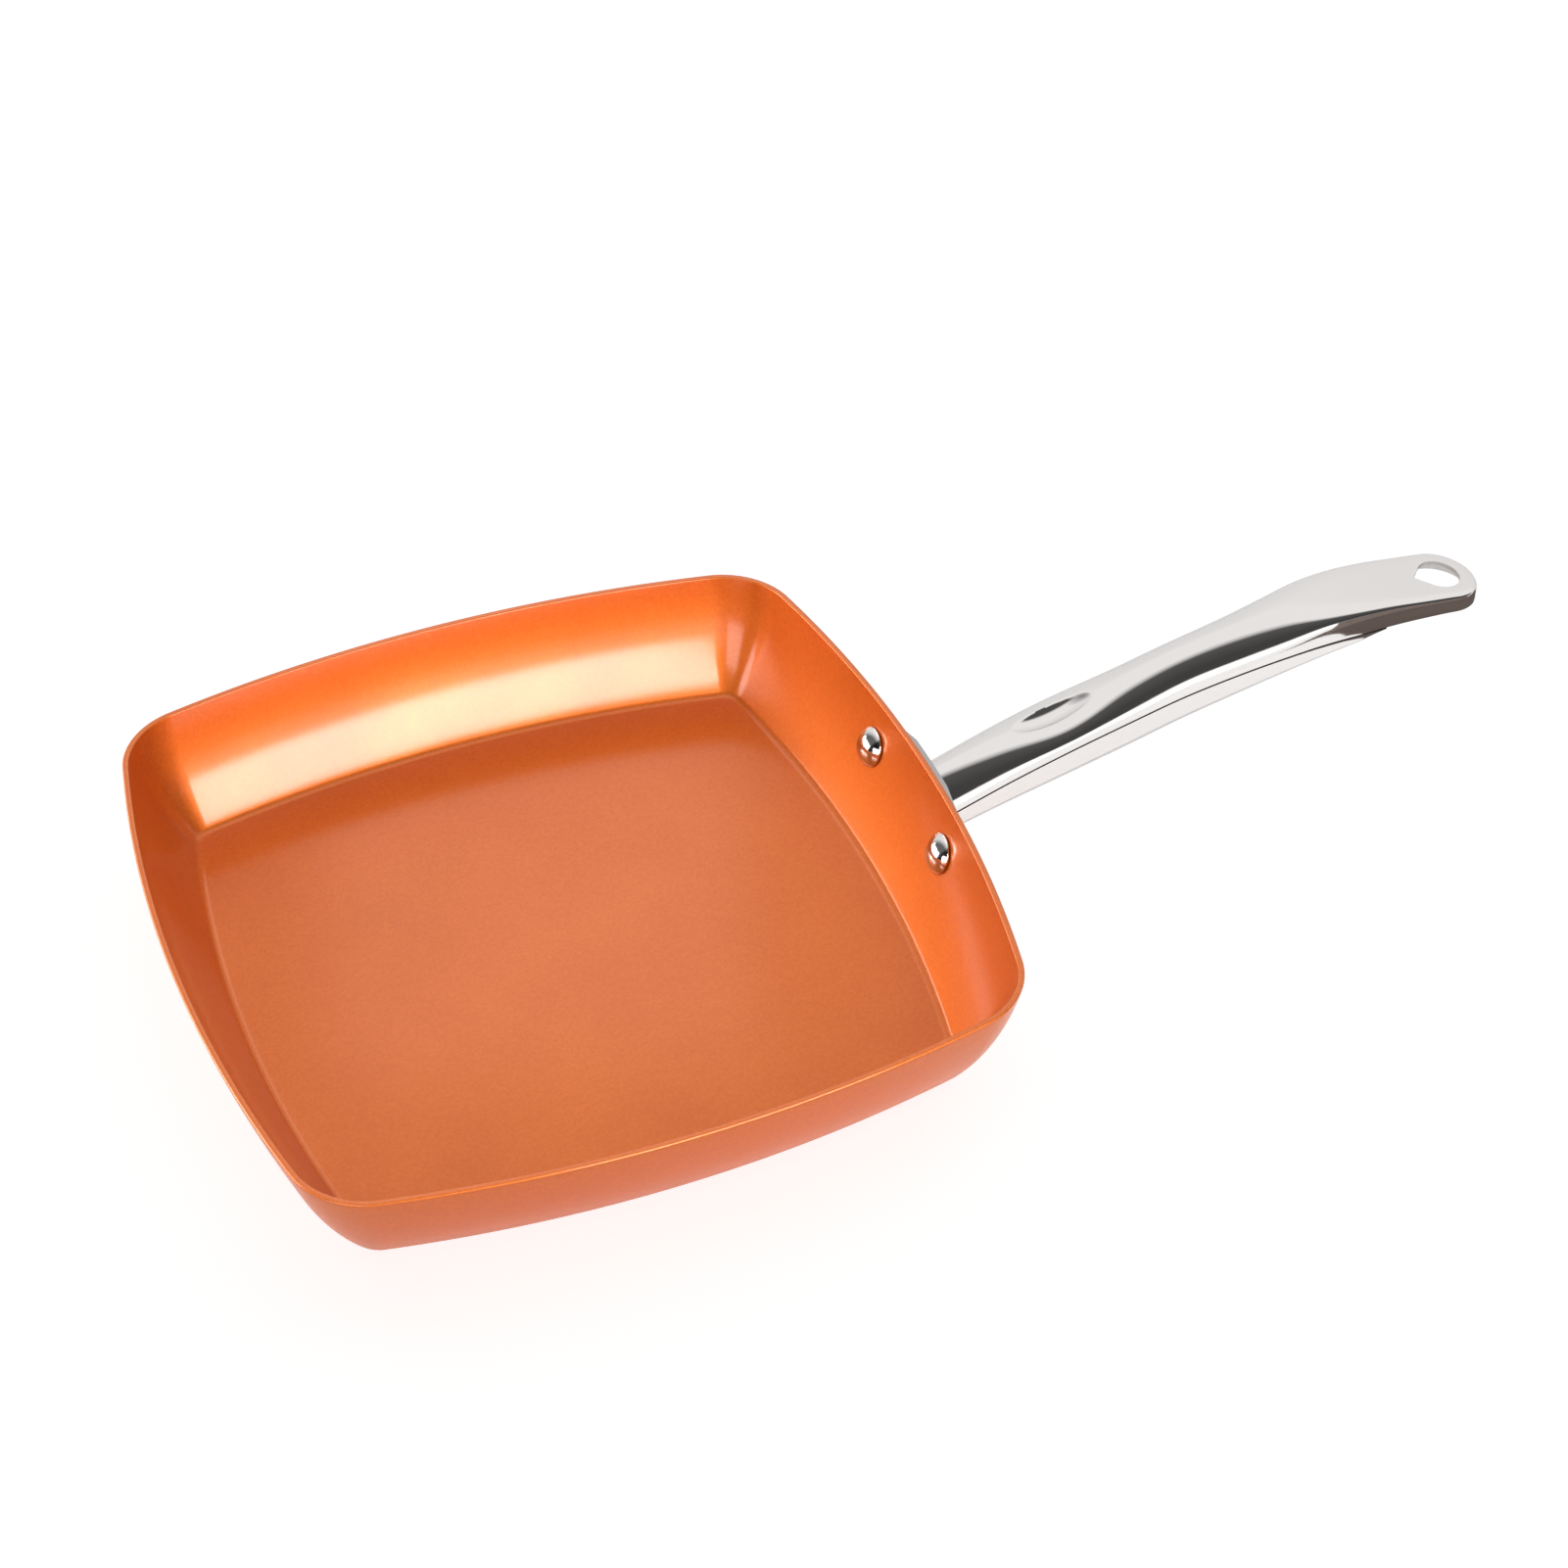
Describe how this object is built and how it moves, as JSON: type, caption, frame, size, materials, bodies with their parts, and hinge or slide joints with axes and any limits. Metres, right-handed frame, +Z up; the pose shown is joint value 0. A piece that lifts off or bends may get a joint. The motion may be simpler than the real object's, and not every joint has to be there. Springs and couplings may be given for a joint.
{
  "type": "square frying pan",
  "caption": "Square frying pan with bowed sides, rounded corners, a coated inside, riveted bracket and a hollow polished handle with a hanging hole.",
  "frame": {"origin": "middle of the underside, on the table", "axes": "+X along the handle, away from the pan; +Z up, out of the pan's open side"},
  "size_m": [0.4322, 0.2412, 0.0658],
  "materials": {
    "coating": "metallic ceramic coating, glossy",
    "base_steel": "brushed",
    "bracket_steel": "satin",
    "rivet_steel": "polished",
    "handle_steel": "mirror polished"
  },
  "bodies": {
    "root": {"pan_body": "coating", "base_disc": "base_steel", "handle_bracket": "bracket_steel", "rivets": "rivet_steel", "handle_upper": "handle_steel", "handle_lower": "handle_steel"}
  },
  "joints": []
}
